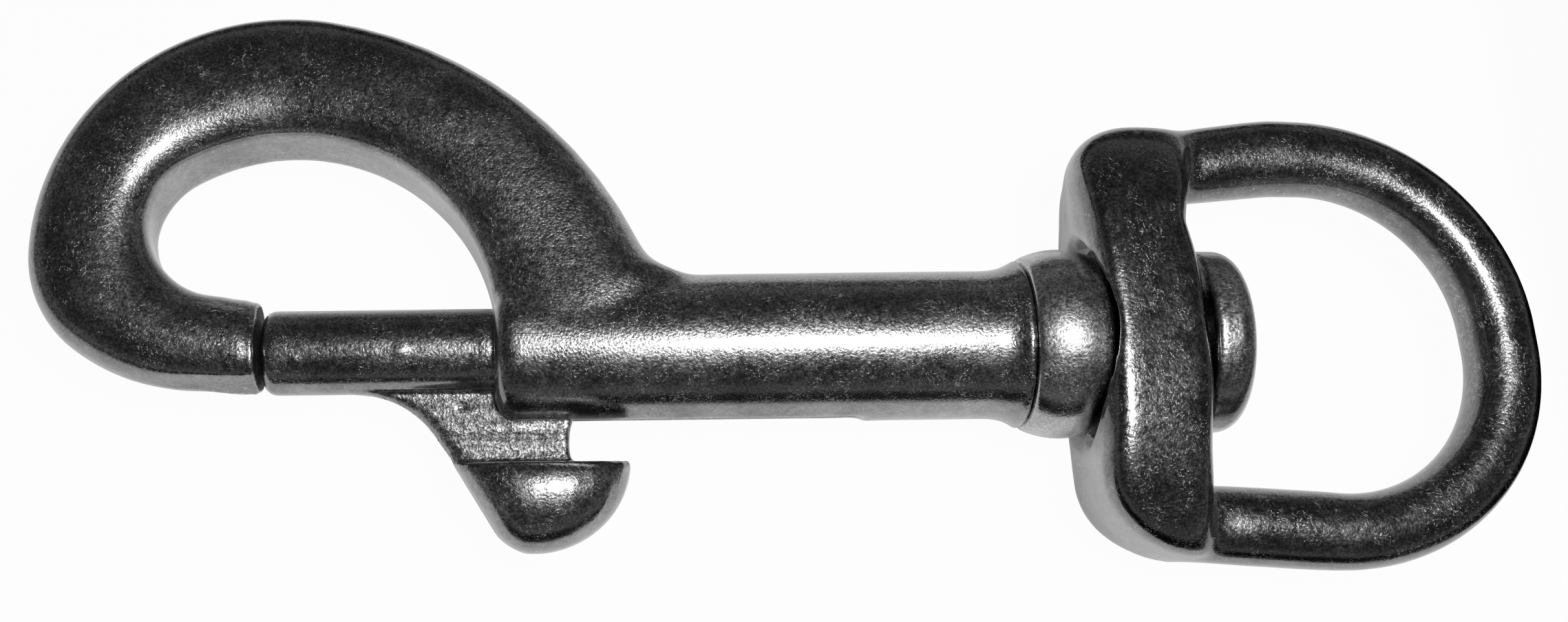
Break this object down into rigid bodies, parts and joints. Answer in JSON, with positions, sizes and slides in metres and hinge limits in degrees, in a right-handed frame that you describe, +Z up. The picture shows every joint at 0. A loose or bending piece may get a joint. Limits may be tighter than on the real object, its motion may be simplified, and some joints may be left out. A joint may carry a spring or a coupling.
{
  "type": "piston hank",
  "caption": "Swivel-eye piston hank: cast hook closed by a sprung thumb-lever piston in a barrel, with a D-shaped eye turning on a headed pin.",
  "frame": {"origin": "under the middle of the part as it lies, on the level of its lowest point", "axes": "+X along the barrel from the hook to the eye, +Y to the back of the hook, +Z up"},
  "size_m": [0.0998, 0.0388, 0.0144],
  "materials": {
    "hook_steel": "tumbled dark stainless casting",
    "piston_steel": "tumbled dark stainless casting",
    "spring_steel": "drawn spring wire",
    "pin_steel": "turned and tumbled stainless",
    "eye_steel": "tumbled dark stainless casting"
  },
  "bodies": {
    "hook": {"hook_body": "hook_steel", "swivel_pin": "pin_steel", "return_spring": "spring_steel"},
    "bolt": {"piston": "piston_steel"},
    "eye": {"swivel_eye": "eye_steel"}
  },
  "joints": [
    {"name": "piston_slide", "type": "slide", "parent": "hook", "child": "bolt", "axis": [1, 0, 0], "range_m": [0, 0.016], "stiffness_N_per_m": 350, "springref_m": -0.01, "deforming": ["return_spring"]},
    {"name": "eye_swivel", "type": "hinge", "parent": "hook", "child": "eye", "pos_m": [0.0233, -0.00436, 0.00721], "axis": [1, 0, 0], "continuous": true}
  ]
}
